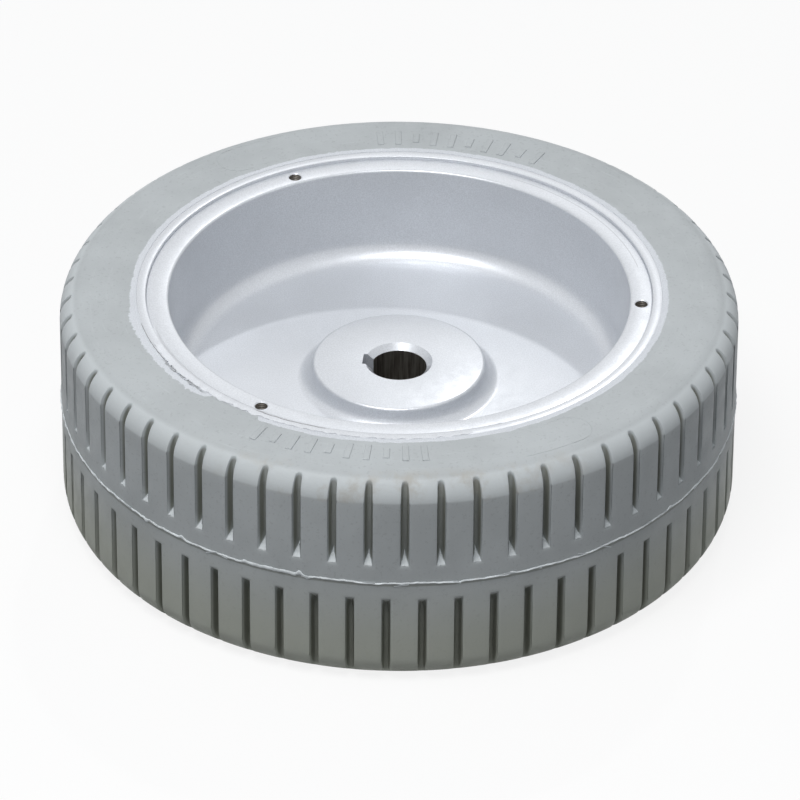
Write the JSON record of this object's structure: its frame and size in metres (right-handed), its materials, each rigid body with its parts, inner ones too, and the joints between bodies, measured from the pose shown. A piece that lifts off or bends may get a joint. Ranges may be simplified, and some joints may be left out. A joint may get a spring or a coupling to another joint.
{
  "type": "drive wheel",
  "caption": "Dished cast drive wheel with a keyed bore, a pressed-on band and a solid rubber tyre with two rows of cross grooves.",
  "frame": {"origin": "the wheel's centre: on its axis, half way between the tyre's two side walls, which is the tyre's parting line", "axes": "+Z along the wheel's axis, out of the dished side with the short boss and the tapped holes; the wheel lies flat, far side down; +X and +Y are in the plane of the wheel, with the keyway at 174 degrees from +X"},
  "size_m": [0.231, 0.231, 0.08],
  "materials": {
    "hub_paint": "cast iron sprayed with silver paint, satin",
    "band_steel": "steel ring, silver overspray, satin",
    "tyre_rubber": "matt grey non-marking rubber"
  },
  "bodies": {
    "root": {"wheel_hub": "hub_paint", "tyre_band": "band_steel", "rubber_tyre": "tyre_rubber"}
  },
  "joints": []
}
